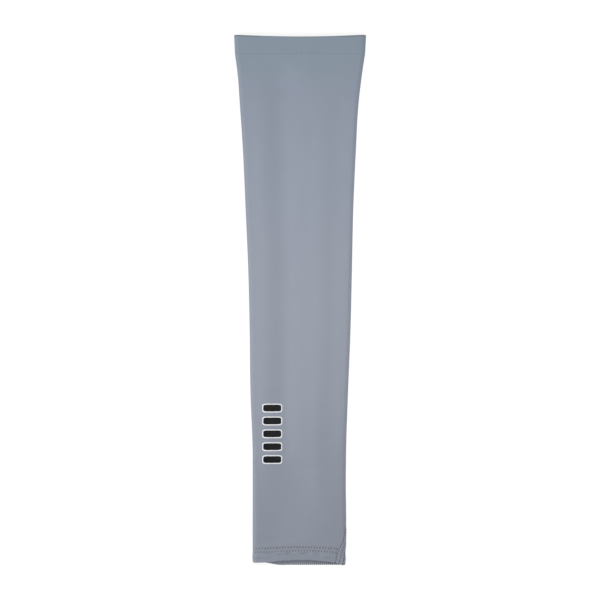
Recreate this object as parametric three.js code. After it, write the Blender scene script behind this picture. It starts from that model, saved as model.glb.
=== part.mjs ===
// An arm sleeve of fine stretch knit, laid flat on the ground: a tapered tube with a turned
// hem at the wrist, a doubled band at the upper arm and one flat seam down its length.
// Millimetres. X runs across the sleeve, +Y from the wrist to the upper arm, +Z up.
// The origin is on the ground, in the middle of the sleeve's length and width.
//
// A place on the cloth is given by its distance from the wrist edge, by its girth, which is
// the way round the outer face from the middle of the right fold by the front, and by its
// depth under the outer face.

import * as THREE from 'three';
import { LoftGeometry } from 'three/addons/geometries/LoftGeometry.js';
import { mergeGeometries } from 'three/addons/utils/BufferGeometryUtils.js';

// The outline, laid flat.
const SLEEVE_LENGTH = 421.5;
const WRIST_WIDTH = 74.1;
const UPPER_WIDTH = 105;
const BAND_FLARE = 1.5;
const BAND_DEPTH = 15;
const HEM_DEPTH = 13.2;
const SEAM_WIDTH = 6.5;

// Thickness of the cloth: one ply in the body, two in the hem, the band and the seam.
const BODY_WALL = 1;
const HEM_WALL = 1.6;
const BAND_WALL = 1.6;
const SEAM_WALL = 1.4;

// The side folds and the height of the front above them.
const INNER_FOLD_RADIUS = 2;
const CROWN_RISE = 1.6;
const FOLD_RADIUS = INNER_FOLD_RADIUS + Math.max(BODY_WALL, HEM_WALL, BAND_WALL, SEAM_WALL);

// How far from each end the waves of its edge die out in the cloth, and how far the front
// and back of the upper edge dip between the corners. Within the wrist's length the seam
// also turns round the right fold.
const WRIST_EASE = 45;
const UPPER_EASE = 32;
const UPPER_DIP = 1.6;

// The clearance where two pieces meet.
const PIECE_GAP = 0.3;

// The outline from the wrist edge to the band. along is the share of that way, widen the
// share of the way from the wrist's width to the band's, sway the shift of the middle as a
// share of the wrist's width, and crown the share of the rise of the front.
const OUTLINE = [
  { along: 0.0, widen: -0.02, sway: -0.012, crown: 1.0 },
  { along: 0.05, widen: 0.007, sway: -0.008, crown: 0.97 },
  { along: 0.17, widen: -0.005, sway: -0.009, crown: 0.88 },
  { along: 0.225, widen: 0.007, sway: -0.008, crown: 0.86 },
  { along: 0.342, widen: 0.119, sway: -0.009, crown: 0.87 },
  { along: 0.46, widen: 0.205, sway: 0.0, crown: 0.9 },
  { along: 0.578, widen: 0.283, sway: 0.0, crown: 0.91 },
  { along: 0.695, widen: 0.389, sway: -0.007, crown: 0.9 },
  { along: 0.813, widen: 0.536, sway: -0.0075, crown: 0.9 },
  { along: 0.9, widen: 0.686, sway: -0.01, crown: 0.93 },
  { along: 0.96, widen: 0.843, sway: -0.003, crown: 0.97 },
  { along: 1.0, widen: 1.0, sway: -0.001, crown: 1.0 },
];

// Soft ridges and hollows of the front. from and to are shares of the sleeve's length,
// across and drift the place at each of those ends as a share of the half width, spread a
// share of the half width, and rise a share of the crown's rise.
const FOLDS = [
  { name: 'left roll', from: 0.16, to: 0.93, across: -0.86, drift: -0.76, spread: 0.17, rise: 0.44 },
  { name: 'wrist hollow', from: 0.028, to: 0.2, across: -0.6, drift: -0.05, spread: 0.52, rise: -0.85 },
  { name: 'long hollow', from: 0.15, to: 0.97, across: -0.32, drift: -0.27, spread: 0.3, rise: -0.85 },
  { name: 'long ridge', from: 0.1, to: 0.93, across: 0.42, drift: 0.42, spread: 0.2, rise: 0.4 },
  { name: 'right dip', from: 0.2, to: 0.93, across: 0.76, drift: 0.78, spread: 0.14, rise: -0.1 },
];

// The wave of the wrist edge: how far it is drawn back, as a share of the hem's depth, at
// shares of the way round from the right fold by the front.
const WRIST_EDGE = [
  { around: 0, lift: 0.015 },
  { around: 0.022, lift: 0.03 },
  { around: 0.045, lift: 0.076 },
  { around: 0.067, lift: 0.167 },
  { around: 0.12, lift: 0.265 },
  { around: 0.19, lift: 0.341 },
  { around: 0.284, lift: 0.341 },
  { around: 0.337, lift: 0.303 },
  { around: 0.416, lift: 0.205 },
  { around: 0.46, lift: 0.182 },
  { around: 0.5, lift: 0.174 },
  { around: 0.57, lift: 0.159 },
  { around: 0.603, lift: 0.095 },
  { around: 0.634, lift: 0.027 },
  { around: 0.66, lift: 0.0 },
  { around: 0.69, lift: 0.009 },
  { around: 0.75, lift: 0.009 },
  { around: 1, lift: 0.015 },
];

// The seam's course: the girth of its middle as a share of the wrist's width, at shares of
// the sleeve's length. It lies on the front above nought and on the underside below.
const SEAM_COURSE = [
  { along: 0, girth: 0.1 },
  { along: 0.0283, girth: 0.063 },
  { along: 0.035, girth: 0.052 },
  { along: 0.044, girth: 0.022 },
  { along: 0.06, girth: 0.008 },
  { along: 0.076, girth: -0.024 },
  { along: 0.1, girth: -0.06 },
  { along: 0.13, girth: -0.09 },
  { along: 0.18, girth: -0.118 },
  { along: 0.24, girth: -0.128 },
  { along: 1, girth: -0.128 },
];

// How flat the crown is in its middle, how near the side folds its ridges and hollows reach,
// and over what share of its length each of them rises and dies out.
const CROWN_POWER = 2.5;
const FOLD_EDGE_POWER = 6;
const FOLD_FADE = 0.1;

// How finely the cloth is divided.
const TURN_ROWS = 8;
const BODY_ROWS = 19;
const BODY_ROW_EASE = 1.2;
const HEM_ROWS = 3;
const BAND_ROWS = 3;
const FOLD_COLUMNS = 6;
const EDGE_COLUMNS = 9;
const FRONT_COLUMNS = 16;
const BACK_COLUMNS = 6;
const SEAM_COLUMNS = 4;
const TURN_ANGLES = [Math.PI / 6, Math.PI / 3];

// Where the pieces begin and end along the sleeve.
const BAND_START = SLEEVE_LENGTH - BAND_DEPTH;
const BODY_START = HEM_DEPTH + PIECE_GAP;
const BODY_END = BAND_START - PIECE_GAP;

const { lerp, smoothstep, euclideanModulo } = THREE.MathUtils;

// A smooth curve through one column of a table.
function curveThrough(rows, place, column) {
  const places = rows.map((row) => row[place]);
  const values = rows.map((row) => row[column]);
  const curve = new THREE.CubicInterpolant(places, values, 1);
  return (at) => curve.evaluate(at)[0];
}

const widenAt = curveThrough(OUTLINE, 'along', 'widen');
const swayAt = curveThrough(OUTLINE, 'along', 'sway');
const crownAt = curveThrough(OUTLINE, 'along', 'crown');
const liftAt = curveThrough(WRIST_EDGE, 'around', 'lift');
const courseAt = curveThrough(SEAM_COURSE, 'along', 'girth');

// The height of the front over the ground, across from -1 at the left fold to 1 at the right.
function frontHeight(distance, across) {
  const edgeFade = 1 - Math.abs(across) ** FOLD_EDGE_POWER;
  let share = crownAt(distance / BAND_START) * (1 - Math.abs(across) ** CROWN_POWER);
  for (const fold of FOLDS) {
    const along = (distance / SLEEVE_LENGTH - fold.from) / (fold.to - fold.from);
    const fade = smoothstep(along, 0, FOLD_FADE) * smoothstep(1 - along, 0, FOLD_FADE);
    const middle = lerp(fold.across, fold.drift, along);
    share += fold.rise * fade * edgeFade * Math.exp(-(((across - middle) / fold.spread) ** 2));
  }
  return 2 * FOLD_RADIUS + CROWN_RISE * share;
}

// The front's line from the right fold to the left one.
class FrontLine extends THREE.Curve {
  constructor(distance, right, left) {
    super();
    this.distance = distance;
    this.right = right;
    this.left = left;
  }

  getPoint(t, target = new THREE.Vector2()) {
    return target.set(lerp(this.right, this.left, t), frontHeight(this.distance, 1 - 2 * t));
  }
}

// The half width and the middle of the flat sleeve.
function outlineAt(distance) {
  const bandWidth = UPPER_WIDTH - BAND_FLARE;
  const along = Math.min(distance / BAND_START, 1);
  const inBand = Math.max(distance - BAND_START, 0) / BAND_DEPTH;
  const width = lerp(WRIST_WIDTH, bandWidth, widenAt(along)) + BAND_FLARE * inBand;
  return { half: width / 2, middle: swayAt(along) * WRIST_WIDTH * (1 - inBand) };
}

// The outer face's closed section: right fold, front, left fold and flat underside.
function makeSection(distance) {
  const { half, middle } = outlineAt(distance);
  const right = middle + half - FOLD_RADIUS;
  const left = middle - half + FOLD_RADIUS;
  const quarter = Math.PI / 2;
  const arc = (x, from, to) =>
    new THREE.EllipseCurve(x, FOLD_RADIUS, FOLD_RADIUS, FOLD_RADIUS, from * quarter, to * quarter);
  const path = new THREE.CurvePath();
  path.add(arc(right, 0, 1));
  path.add(new FrontLine(distance, right, left));
  path.add(arc(left, 1, 3));
  path.add(new THREE.LineCurve(new THREE.Vector2(left, 0), new THREE.Vector2(right, 0)));
  path.add(arc(right, 3, 4));
  const [firstFold, front, leftFold] = path.getCurveLengths();
  return { path, girth: path.getLength(), rightFold: firstFold, leftFrom: front, leftTo: leftFold };
}

const sections = new Map();

function sectionAt(distance) {
  if (!sections.has(distance)) sections.set(distance, makeSection(distance));
  return sections.get(distance);
}

// How far the cloth is drawn towards the upper arm by the waves of the two ends.
function endShift(distance, around) {
  const fromUpper = SLEEVE_LENGTH - distance;
  const wristFade = Math.max(1 - distance / WRIST_EASE, 0) ** 2;
  const upperFade = Math.max(1 - fromUpper / UPPER_EASE, 0) ** 2;
  const dip = UPPER_DIP * Math.abs(Math.sin(2 * Math.PI * around));
  return HEM_DEPTH * liftAt(around) * wristFade - dip * upperFade;
}

function clothPoint(distance, girth, depth) {
  const section = sectionAt(distance);
  const around = euclideanModulo(girth / section.girth, 1);
  const spot = section.path.getPoint(around);
  const way = section.path.getTangent(around);
  const y = distance - SLEEVE_LENGTH / 2 + endShift(distance, around);
  return new THREE.Vector3(spot.x - way.y * depth, y, spot.y + way.x * depth);
}

// Steps from each stop to the next, with a number of columns for each stretch.
function divide(stops, columns) {
  const places = [stops[0]];
  columns.forEach((count, i) => {
    for (let k = 1; k <= count; k++) places.push(lerp(stops[i], stops[i + 1], k / count));
  });
  return places;
}

const seamMiddle = (distance) => WRIST_WIDTH * courseAt(distance / SLEEVE_LENGTH);

// The farthest that the seam gets from the right fold.
const SEAM_REACH =
  SEAM_WIDTH + WRIST_WIDTH * Math.max(...SEAM_COURSE.map((row) => Math.abs(row.girth)));

// The columns of a wall that is open along the seam, from one of its edges to the other.
function panelColumns(distance) {
  const { girth, leftFrom, leftTo } = sectionAt(distance);
  const edge = SEAM_WIDTH / 2 + PIECE_GAP;
  const start = seamMiddle(distance) + edge;
  const end = seamMiddle(distance) + girth - edge;
  const stops = [start, SEAM_REACH, leftFrom, leftTo, girth - SEAM_REACH, end];
  return divide(stops, [EDGE_COLUMNS, FRONT_COLUMNS, FOLD_COLUMNS, BACK_COLUMNS, EDGE_COLUMNS]);
}

// The columns of a wall that is a closed ring; the last column is the first one again.
function ringColumns(distance) {
  const { girth, rightFold, leftFrom, leftTo } = sectionAt(distance);
  const stops = [-rightFold, rightFold, leftFrom, leftTo, girth - rightFold];
  return divide(stops, [FOLD_COLUMNS, FRONT_COLUMNS, FOLD_COLUMNS, BACK_COLUMNS]);
}

function seamColumns(distance) {
  const middle = seamMiddle(distance);
  return divide([middle - SEAM_WIDTH / 2, middle + SEAM_WIDTH / 2], [SEAM_COLUMNS]);
}

// Rows of a wall between two distances; each row holds the depths of its two faces.
function flatRows(from, to, wall, count, ease = 1) {
  const row = (_, k) => ({
    distance: lerp(from, to, (k / count) ** ease),
    outer: 0,
    inner: wall,
  });
  return Array.from({ length: count + 1 }, row);
}

// Rows of the rounded edge where the cloth is turned back on itself, from the edge inwards.
function turnedRows(edge, inwards, wall) {
  const radius = wall / 2;
  return TURN_ANGLES.map((angle) => ({
    distance: edge + inwards * radius * (1 - Math.cos(angle)),
    outer: radius * (1 - Math.sin(angle)),
    inner: radius * (1 + Math.sin(angle)),
  }));
}

// A wall of cloth as one closed surface: both faces, both ends and, in a strip, both sides.
function wallGeometry(rows, columnsAt, closedRing) {
  const places = rows.map((row) => columnsAt(row.distance));
  const columns = places[0].map((_, j) => ({
    outer: rows.map((row, i) => clothPoint(row.distance, places[i][j], row.outer)),
    inner: rows.map((row, i) => clothPoint(row.distance, places[i][j], row.inner)),
  }));
  const loops = columns.map(({ outer, inner }) => [...outer, ...inner.toReversed()]);
  if (closedRing) return new LoftGeometry([...loops.slice(0, -1), loops[0]]);
  const first = columns[0];
  const last = columns.at(-1);
  return mergeGeometries([
    new LoftGeometry(loops),
    new LoftGeometry([first.inner, first.outer], { closed: false }),
    new LoftGeometry([last.outer, last.inner], { closed: false }),
  ]);
}

// The rows from the hem to the band, closer together where the seam turns round the fold.
function bodyRows(wall) {
  const turn = flatRows(BODY_START, WRIST_EASE, wall, TURN_ROWS);
  return [...turn, ...flatRows(WRIST_EASE, BODY_END, wall, BODY_ROWS, BODY_ROW_EASE).slice(1)];
}

function sleeveBody() {
  return wallGeometry(bodyRows(BODY_WALL), panelColumns, false);
}

function wristHem() {
  const turned = turnedRows(0, 1, HEM_WALL);
  const rows = [...turned, ...flatRows(HEM_WALL / 2, HEM_DEPTH, HEM_WALL, HEM_ROWS)];
  return wallGeometry(rows, panelColumns, false);
}

function upperBand() {
  const turned = turnedRows(SLEEVE_LENGTH, -1, BAND_WALL).reverse();
  const top = SLEEVE_LENGTH - BAND_WALL / 2;
  const rows = [...flatRows(BAND_START, top, BAND_WALL, BAND_ROWS), ...turned];
  return wallGeometry(rows, ringColumns, true);
}

function flatlockSeam() {
  const turned = turnedRows(0, 1, SEAM_WALL);
  const inHem = flatRows(SEAM_WALL / 2, HEM_DEPTH, SEAM_WALL, HEM_ROWS);
  return wallGeometry([...turned, ...inHem, ...bodyRows(SEAM_WALL)], seamColumns, false);
}

function piece(name, geometry, color) {
  const material = new THREE.MeshStandardMaterial({ color, roughness: 0.85, metalness: 0 });
  const mesh = new THREE.Mesh(geometry, material);
  mesh.name = name;
  return mesh;
}

const sleeve = new THREE.Group();
sleeve.name = 'arm_sleeve';
sleeve.add(piece('sleeve_body', sleeveBody(), 0x979daa));
sleeve.add(piece('upper_band', upperBand(), 0x8a95a2));
sleeve.add(piece('wrist_hem', wristHem(), 0x939aa7));
sleeve.add(piece('flatlock_seam', flatlockSeam(), 0x858d9b));

export default sleeve;
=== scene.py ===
# %% [markdown]
# # An arm sleeve, laid flat
# The object is a tapered tube of fine stretch knit, open at both ends. It lies flat on the
# ground with its wrist end towards the viewer. Its cloth is one panel, wrapped round and
# joined along one side by a flat seam. The wrist end is turned in and stitched with two
# rows, and the upper end is a doubled band.
#
# A fixed frame of plain solids gives the size and the place of every piece. This script
# gives each of them its real cloth, its stitches and its finish.

import math

import bpy
import numpy as np
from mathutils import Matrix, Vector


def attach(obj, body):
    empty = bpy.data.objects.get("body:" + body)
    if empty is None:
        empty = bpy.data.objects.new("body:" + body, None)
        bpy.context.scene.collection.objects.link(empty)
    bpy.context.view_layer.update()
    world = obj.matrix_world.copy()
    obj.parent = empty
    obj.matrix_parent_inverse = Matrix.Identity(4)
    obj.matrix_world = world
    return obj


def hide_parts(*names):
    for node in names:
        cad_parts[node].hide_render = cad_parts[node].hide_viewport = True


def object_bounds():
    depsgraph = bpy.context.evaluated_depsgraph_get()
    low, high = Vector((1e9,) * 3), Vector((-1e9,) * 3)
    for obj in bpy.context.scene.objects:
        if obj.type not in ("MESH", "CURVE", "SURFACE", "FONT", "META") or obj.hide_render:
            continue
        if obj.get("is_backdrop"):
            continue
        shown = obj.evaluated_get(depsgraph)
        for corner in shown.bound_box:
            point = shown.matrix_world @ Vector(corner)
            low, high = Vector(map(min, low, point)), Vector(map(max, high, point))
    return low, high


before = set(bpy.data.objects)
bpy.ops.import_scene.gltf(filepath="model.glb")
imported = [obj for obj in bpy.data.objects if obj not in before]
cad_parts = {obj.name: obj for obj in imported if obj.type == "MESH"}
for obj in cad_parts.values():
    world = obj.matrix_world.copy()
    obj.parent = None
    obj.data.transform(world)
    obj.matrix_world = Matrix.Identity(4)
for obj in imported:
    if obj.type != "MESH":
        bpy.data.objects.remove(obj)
MM = 0.001
cad_low, cad_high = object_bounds()
sleeve_length = cad_high.y - cad_low.y
upper_width = cad_high.x - cad_low.x
print("solids:", sorted(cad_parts))
print(f"sleeve {sleeve_length / MM:.1f} mm long, {upper_width / MM:.1f} mm wide at the band")

# %% [markdown]
# ## How the sleeve was photographed
# A product picture of a flat garment is taken from straight above, through a long lens, so
# that both ends look alike. The picture is square, so one number sets its scale: how much
# of the ground it spans. The camera's distance follows from that and from the lens.

# %% The camera
PICTURE_SPAN = 476.6 * MM
PICTURE_MIDDLE = (-0.085 * MM, 0.17 * MM)
SIDE_FOLD_HEIGHT = 3.6 * MM
LENS = 150.0
SENSOR = 36.0


def add_object(name, data):
    made = bpy.data.objects.new(name, data)
    bpy.context.scene.collection.objects.link(made)
    return made


def overhead_camera():
    data = bpy.data.cameras.new("overhead")
    data.lens = LENS
    data.sensor_width = SENSOR
    camera = add_object("overhead", data)
    camera.location = (*PICTURE_MIDDLE, SIDE_FOLD_HEIGHT + PICTURE_SPAN * LENS / SENSOR)
    bpy.context.scene.camera = camera
    return camera


camera = overhead_camera()
print(f"camera {camera.location.z:.3f} m above the ground")

# %% [markdown]
# ## The ground and the light
# The sleeve lies on a white table. A soft lamp hangs close over its middle, so the two
# ends are a little darker than the middle. A second lamp stands far off to the left and
# low, and its slanting light shows the folds: slopes that face left are light, and slopes
# that face right are dark. The white room fills the shadows, and its walls look paler than
# they shine, so that nothing grey shows behind the table. The table glows a little, as a
# light table does, which keeps it white round the cloth.

# %% Light and ground
NEAR_PLACE = (0.05, 0.03, 0.42)
NEAR_SIZE = 0.3
NEAR_POWER = 1.24
SIDE_PLACE = (-1.6, -0.6, 0.6)
SIDE_SIZE = 0.5
SIDE_POWER = 15.0
SKY_STRENGTH = 0.36
WALL_PALENESS = 0.5
TABLE_GLOW = 0.8
TABLE_SIZE = 8.0
TABLE_DROP = 0.1 * MM
TABLE_LOOK = {
    "Base Color": (0.3, 0.3, 0.3, 1),
    "Roughness": 0.7,
    "Specular IOR Level": 0.1,
    "Emission Color": (1, 1, 1, 1),
    "Emission Strength": TABLE_GLOW,
}


def soft_lamp(name, place, size, power):
    data = bpy.data.lights.new(name, "AREA")
    data.shape = "SQUARE"
    data.size = size
    data.energy = power
    lamp = add_object(name, data)
    lamp.location = place
    lamp.rotation_euler = (-lamp.location).to_track_quat("-Z", "Y").to_euler()


def set_inputs(shader, values):
    for socket, value in values.items():
        shader.inputs[socket].default_value = value


def white_table():
    half = TABLE_SIZE / 2
    corners = [(-half, -half), (half, -half), (half, half), (-half, half)]
    mesh = bpy.data.meshes.new("table")
    mesh.from_pydata([(x, y, -TABLE_DROP) for x, y in corners], [], [(0, 1, 2, 3)])
    table = add_object("table", mesh)
    paint = bpy.data.materials.new("white table")
    paint.use_nodes = True
    set_inputs(paint.node_tree.nodes["Principled BSDF"], TABLE_LOOK)
    mesh.materials.append(paint)
    table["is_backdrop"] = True


def white_room():
    """Even light all round. The walls behind the table look paler than they shine."""
    world = bpy.data.worlds.new("studio")
    world.use_nodes = True
    nodes, links = world.node_tree.nodes, world.node_tree.links
    room = nodes["Background"]
    room.inputs["Color"].default_value = (1, 1, 1, 1)
    seen = nodes.new("ShaderNodeLightPath")
    strength = nodes.new("ShaderNodeMath")
    strength.operation = "MULTIPLY_ADD"
    set_inputs(strength, {1: WALL_PALENESS, 2: SKY_STRENGTH})
    links.new(seen.outputs["Is Camera Ray"], strength.inputs[0])
    links.new(strength.outputs[0], room.inputs["Strength"])
    bpy.context.scene.world = world


soft_lamp("near lamp", NEAR_PLACE, NEAR_SIZE, NEAR_POWER)
soft_lamp("side lamp", SIDE_PLACE, SIDE_SIZE, SIDE_POWER)
white_room()
bpy.context.scene.view_settings.view_transform = "Standard"
white_table()
print(f"one lamp {NEAR_PLACE[2]:.2f} m above the table, one {-SIDE_PLACE[0]:.1f} m to its left")

# %% [markdown]
# ## The shape of the cloth
# A place on the cloth is given by two lengths that a tape measure would read: the distance
# from the wrist edge, and the girth, which is the way round the outside from the right
# fold by the front. A third length, the depth, goes in from the outer face.
#
# The flat sleeve's section is always the same kind: a flat underside, two rounded side
# folds and a front that rises a little between them. A few short tables say how its width
# and its rise change along the sleeve, where the front has soft ridges and hollows, how
# the two edges wave, and where the seam runs. Lengths in the tables are shares, so each
# number can be read off the picture with a ruler.

# %% Sizes and tables
WRIST_WIDTH = 74.1 * MM
BAND_FLARE = 1.5 * MM
BAND_DEPTH = 15 * MM
HEM_DEPTH = 13.2 * MM
SEAM_WIDTH = 6.5 * MM
PLY = 1.0 * MM
DOUBLE_PLY = 1.6 * MM
FOLD_RADIUS = 3.6 * MM
CROWN_RISE = 1.6 * MM
WRIST_EASE = 45 * MM
UPPER_EASE = 32 * MM
UPPER_DIP = 1.6 * MM
CROWN_POWER = 2.5
FOLD_EDGE_POWER = 6
FOLD_FADE = 0.1

OUTLINE = {
    "along": (0, 0.05, 0.17, 0.225, 0.342, 0.46, 0.578, 0.695, 0.813, 0.9, 0.96, 1),
    "widen": (-0.02, 0.007, -0.005, 0.007, 0.119, 0.205, 0.283, 0.389, 0.536, 0.686, 0.843, 1),
    "sway": (-12, -8, -9, -8, -9, 0, 0, -7, -7.5, -10, -3, -1),
    "crown": (1, 0.97, 0.88, 0.86, 0.87, 0.9, 0.91, 0.9, 0.9, 0.93, 0.97, 1),
}
SWAY_UNIT = 0.001
FOLDS = {
    "from": (0.16, 0.028, 0.15, 0.1, 0.2),
    "to": (0.93, 0.2, 0.97, 0.93, 0.93),
    "across": (-0.86, -0.6, -0.33, 0.42, 0.76),
    "drift": (-0.74, -0.05, -0.3, 0.42, 0.78),
    "spread": (0.19, 0.52, 0.24, 0.2, 0.14),
    "rise": (0.46, -1.05, -1.1, 0.4, -0.1),
}
WRIST_EDGE = {
    "around": (
        0, 0.022, 0.045, 0.067, 0.12, 0.19, 0.284, 0.337, 0.416,
        0.46, 0.5, 0.57, 0.603, 0.634, 0.66, 0.69, 0.75, 1,
    ),
    "lift": (
        0.015, 0.03, 0.076, 0.167, 0.265, 0.341, 0.341, 0.303, 0.205,
        0.182, 0.174, 0.159, 0.095, 0.027, 0.0, 0.009, 0.009, 0.015,
    ),
}
SEAM_COURSE = {
    "along": (0, 0.0283, 0.035, 0.044, 0.06, 0.076, 0.1, 0.13, 0.18, 0.24, 1),
    "girth": (0.1, 0.063, 0.052, 0.022, 0.008, -0.024, -0.06, -0.09, -0.118, -0.128, -0.128),
}
band_start = sleeve_length - BAND_DEPTH
print(f"tables for {len(OUTLINE['along'])} widths and {len(FOLDS['rise'])} soft folds")

# %% A smooth curve through a table


def curve_through(table, place, column):
    """A smooth curve through one column of a table, as a function of another column."""
    places = np.array(table[place], float)
    values = np.array(table[column], float)
    slopes = np.gradient(values, places)

    def at(where):
        where = np.clip(where, places[0], places[-1])
        k = np.clip(np.searchsorted(places, where, side="right") - 1, 0, len(places) - 2)
        run = places[k + 1] - places[k]
        t = (where - places[k]) / run
        ahead = t * t * (3 - 2 * t)
        leave = t * (1 - t) ** 2 * run * slopes[k]
        arrive = t * t * (t - 1) * run * slopes[k + 1]
        return values[k] + ahead * (values[k + 1] - values[k]) + leave + arrive

    return at


widen_at = curve_through(OUTLINE, "along", "widen")
sway_at = curve_through(OUTLINE, "along", "sway")
crown_at = curve_through(OUTLINE, "along", "crown")
lift_at = curve_through(WRIST_EDGE, "around", "lift")
course_at = curve_through(SEAM_COURSE, "along", "girth")
print(f"the front edge is drawn back {HEM_DEPTH * lift_at(0.25) / MM:.1f} mm at its middle")

# %% The section at one distance from the wrist
ARC_STEPS = 24
FRONT_STEPS = 400


def smooth_step(x):
    x = np.clip(x, 0, 1)
    return x * x * (3 - 2 * x)


def front_height(distance, across):
    """Height of the front over the ground; across is -1 at the left fold and 1 at the right."""
    edge_fade = 1 - np.abs(across) ** FOLD_EDGE_POWER
    share = crown_at(distance / band_start) * (1 - np.abs(across) ** CROWN_POWER)
    for first, last, start, end, width, rise in zip(*FOLDS.values()):
        along = (distance / sleeve_length - first) / (last - first)
        fade = smooth_step(along / FOLD_FADE) * smooth_step((1 - along) / FOLD_FADE)
        middle = start + (end - start) * along
        hump = np.exp(-(((across - middle) / width) ** 2))
        share = share + rise * fade * edge_fade * hump
    return 2 * FOLD_RADIUS + CROWN_RISE * share


def outline_at(distance):
    """Half width and middle of the flat sleeve."""
    band_width = upper_width - BAND_FLARE
    along = min(distance / band_start, 1)
    in_band = max(distance - band_start, 0) / BAND_DEPTH
    width = WRIST_WIDTH + (band_width - WRIST_WIDTH) * widen_at(along) + BAND_FLARE * in_band
    return width / 2, sway_at(along) * SWAY_UNIT * WRIST_WIDTH * (1 - in_band)


def make_section(distance):
    """The outer face's closed line from the right fold by the front, with its girth at each point."""
    half, middle = outline_at(distance)
    right = middle + half - FOLD_RADIUS
    left = middle - half + FOLD_RADIUS

    def arc(x, quarter_from, quarter_to):
        steps = ARC_STEPS * (quarter_to - quarter_from)
        turn = np.linspace(quarter_from, quarter_to, steps + 1) * np.pi / 2
        return np.c_[x + FOLD_RADIUS * np.cos(turn), FOLD_RADIUS + FOLD_RADIUS * np.sin(turn)]

    across = np.linspace(1, -1, FRONT_STEPS + 1)
    x = (right + left) / 2 + across * (right - left) / 2
    front = np.c_[x, front_height(distance, across)]
    line = np.vstack([arc(right, 0, 1), front[1:], arc(left, 1, 3)[1:], arc(right, 3, 4)])
    girth = np.r_[0, np.cumsum(np.hypot(*np.diff(line, axis=0).T))]
    way = np.gradient(line, girth, axis=0)
    inwards = np.c_[-way[:, 1], way[:, 0]]
    inwards /= np.hypot(*inwards.T)[:, None]
    return {
        "line": line,
        "girth": girth,
        "inwards": inwards,
        "whole": girth[-1],
        "right_to": girth[ARC_STEPS],
        "left_from": girth[ARC_STEPS + FRONT_STEPS],
        "left_to": girth[ARC_STEPS * 3 + FRONT_STEPS],
    }


sections = {}


def section_at(distance):
    distance = round(float(distance), 7)
    if distance not in sections:
        sections[distance] = make_section(distance)
    return sections[distance]


for name, distance in (("wrist", 0), ("middle", sleeve_length / 2), ("band", sleeve_length)):
    print(f"{name}: girth {section_at(distance)['whole'] / MM:.1f} mm")

# %% A point on the cloth


def end_shift(distance, around):
    """How far the waves of the two edges draw the cloth towards the upper arm."""
    wrist_fade = max(1 - distance / WRIST_EASE, 0) ** 2
    upper_fade = max(1 - (sleeve_length - distance) / UPPER_EASE, 0) ** 2
    wrist = HEM_DEPTH * lift_at(around) * wrist_fade
    return wrist - UPPER_DIP * np.abs(np.sin(2 * np.pi * around)) * upper_fade


def cloth_row(distance, girth, depth):
    """Points in the frame, and the way out of the cloth, for one distance and many girths."""
    section = section_at(distance)
    girth = np.mod(np.asarray(girth, float), section["whole"])

    def look_up(values):
        return np.interp(girth, section["girth"], values)

    x, z = (look_up(section["line"][:, k]) for k in (0, 1))
    inward_x, inward_z = (look_up(section["inwards"][:, k]) for k in (0, 1))
    y = cad_low.y + distance + end_shift(distance, girth / section["whole"])
    y = np.broadcast_to(y, x.shape)
    points = np.c_[x + inward_x * depth, y, np.maximum(z + inward_z * depth, 0)]
    return points, np.c_[-inward_x, np.zeros_like(x), -inward_z]


def front_girth(distance, x):
    """The girth of the point of the front that has this x."""
    section = section_at(distance)
    front = slice(ARC_STEPS, ARC_STEPS + FRONT_STEPS + 1)
    return np.interp(-x, -section["line"][front, 0], section["girth"][front])


def seam_middle(distance):
    return WRIST_WIDTH * course_at(distance / sleeve_length)


print("front middle:", np.round(cloth_row(0.2, [0.045], 0)[0] / MM, 1), "mm")

# %% [markdown]
# ## Cloth as a closed sheet
# A piece of cloth has two faces and a thin rim. It could be one face with a Solidify
# modifier, but a folded hem has two plies that must not cross, so here both faces are
# given row by row, as distances and depths, and are joined by rims round their edges.
# Each point keeps its place on the cloth as its UV, in metres, for the knit to follow.

# %% Both faces and the rims of a sheet
SHARP_ANGLE = math.radians(55)


def sheet_faces(rows, columns, ring):
    """Corner numbers of both faces and the rims; the second face's points follow the first's."""
    back = rows * columns
    at = np.arange(back).reshape(rows, columns)
    if ring:
        at = np.c_[at, at[:, 0]]
    corners = np.stack([at[:-1, :-1], at[1:, :-1], at[1:, 1:], at[:-1, 1:]], axis=-1)
    corners = corners.reshape(-1, 4)
    faces = [corners, corners[:, ::-1] + back]
    rims = [(at[0], 1), (at[-1], -1)]
    if not ring:
        rims += [(at[:, 0], -1), (at[:, -1], 1)]
    for line, turn in rims:
        here, there = line[:-1], line[1:]
        faces.append(np.c_[here, there, there + back, here + back][:, ::turn])
    return np.vstack(faces)


def make_sheet(name, front, back, girths, places, ring=False):
    """A sheet whose faces are rows of (distance, depth); places are each row's V."""
    points = []
    for face in (front, back):
        for distance, depth in face:
            points.append(cloth_row(distance, girths(distance), depth)[0])
    across = np.array([girths(distance) for distance, _ in front])
    rows, columns = across.shape
    if ring:
        columns -= 1
        points = [row[:-1] for row in points]
    faces = sheet_faces(rows, columns, ring)
    mesh = bpy.data.meshes.new(name)
    mesh.from_pydata(np.vstack(points).tolist(), [], faces.tolist())
    corner = faces % (rows * columns)
    c = corner % columns
    if ring:
        wraps = (c.max(axis=1) - c.min(axis=1) > 1)[:, None] & (c == 0)
        c = np.where(wraps, columns, c)
    u = across[corner // columns, c]
    v = np.array(places)[corner // columns]
    layer = mesh.uv_layers.new(name="cloth")
    layer.uv.foreach_set("vector", np.stack([u, v], axis=-1).ravel())
    mesh.polygons.foreach_set("use_smooth", [True] * len(mesh.polygons))
    mesh.set_sharp_from_angle(angle=SHARP_ANGLE)
    mesh.validate()
    return add_object(name, mesh)


def spread(stops, counts):
    """Numbers from stop to stop, with so many steps in each stretch."""
    parts = [np.linspace(a, b, n + 1)[1:] for a, b, n in zip(stops, stops[1:], counts)]
    return np.concatenate([[stops[0]], *parts])


print("a square of 2 by 2 rows has", len(sheet_faces(2, 2, False)), "faces")

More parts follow.
